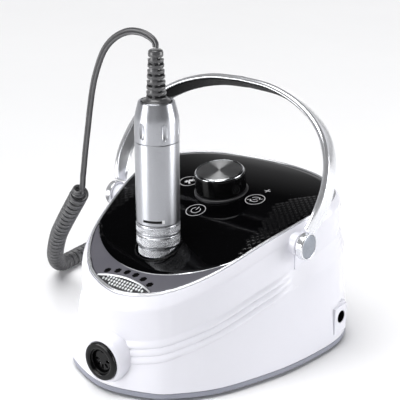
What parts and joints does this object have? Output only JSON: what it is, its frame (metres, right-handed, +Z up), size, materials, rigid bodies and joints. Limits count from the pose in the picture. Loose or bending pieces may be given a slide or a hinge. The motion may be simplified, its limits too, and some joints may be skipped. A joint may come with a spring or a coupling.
{
  "type": "electric nail drill",
  "caption": "Nail drill: teardrop control box with sloping panel, speed knob, folding bail handle, socketed nose, standing lift-out handpiece with lock collar, curly cord.",
  "frame": {"origin": "centre of the overall footprint on the surface it stands on, cord, coil and plug left out", "axes": "+Z up; -Y is the narrow nose with the five pin socket; +X is the side with the power jack; the handle turns about X"},
  "size_m": [0.2337, 0.2173, 0.2042],
  "materials": {
    "housing_shell": "glossy white moulded plastic",
    "base_plate": "satin grey moulded plastic",
    "screw": "zinc plated",
    "foot": "matte",
    "panel_trim": "thin polished edge line",
    "control_panel": "mirror gloss black with printed touch marks",
    "nose_bezel": "satin slate grey",
    "vent_grille": "silver, dotted",
    "black": "satin black",
    "metal": "bright",
    "board": "glass-fibre board",
    "dark": "dark moulded",
    "sink": "milled",
    "can": "sleeved can",
    "bush": "white acetal",
    "cord": "matte grey",
    "chrome": "polished",
    "grip": "black gloss inlay",
    "knob": "gloss black",
    "spun": "black anodised, spun face",
    "alu": "satin blasted and anodised",
    "rotor": "laminated and wound"
  },
  "bodies": {
    "box": {"housing_shell": "housing_shell", "base_plate": "base_plate", "base_screw_1": "screw", "base_screw_2": "screw", "base_screw_3": "screw", "base_screw_4": "screw", "foot_1": "foot", "foot_2": "foot", "foot_3": "foot", "foot_4": "foot", "panel_trim": "panel_trim", "control_panel": "control_panel", "nose_bezel": "nose_bezel", "vent_grille": "vent_grille", "din_flange": "black", "din_insert": "black", "din_nut": "metal", "power_jack": "black", "pedal_jack": "black", "main_board": "board", "power_coil": "dark", "heat_sink": "sink", "filter_capacitor": "can", "speed_driver": "dark", "handpiece_well": "black", "pivot_bush_left": "bush", "pivot_bush_right": "bush", "knob_seat": "dark", "speed_control": "dark", "cord_coil_hang": "cord", "cord_coil_floor": "cord", "cord_tail": "cord", "plug_shell": "dark", "plug_ring": "metal", "plug_insert": "dark"},
    "handle": {"handle_band": "chrome", "handle_grip": "grip", "handle_hub_left": "chrome", "handle_hub_right": "chrome", "pivot_pin_left": "metal", "pivot_pin_right": "metal"},
    "speed_knob": {"knob": "knob", "knob_cap": "spun", "speed_shaft": "metal"},
    "handpiece": {"handpiece_body": "alu", "handpiece_rear_cap": "alu", "handpiece_nose": "alu", "front_bearing": "metal", "rear_bearing": "metal", "motor_can": "dark", "brush_cap": "dark", "strain_relief": "cord", "cord_lead": "cord"},
    "lock_ring": {"lock_collar": "alu"},
    "spindle": {"motor_rotor": "rotor", "collet_chuck": "metal"}
  },
  "joints": [
    {"name": "handle_pivot", "type": "hinge", "parent": "box", "child": "handle", "pos_m": [0, 0.0052, 0.0805], "axis": [1, 0, 0], "range_deg": [-60, 26]},
    {"name": "knob_turn", "type": "hinge", "parent": "box", "child": "speed_knob", "pos_m": [0, 0.0226, 0.09392], "axis": [0, -0.1564, 0.9877], "range_deg": [-280, 0]},
    {"name": "handpiece_lift", "type": "slide", "parent": "box", "child": "handpiece", "axis": [0, 0, 1], "range_m": [0, 0.045]},
    {"name": "collar_lock", "type": "hinge", "parent": "handpiece", "child": "lock_ring", "pos_m": [0, -0.039, 0.085], "axis": [0, 0, 1], "range_deg": [0, 45]},
    {"name": "spindle_spin", "type": "hinge", "parent": "handpiece", "child": "spindle", "pos_m": [0, -0.039, 0.085], "axis": [0, 0, 1], "continuous": true}
  ]
}
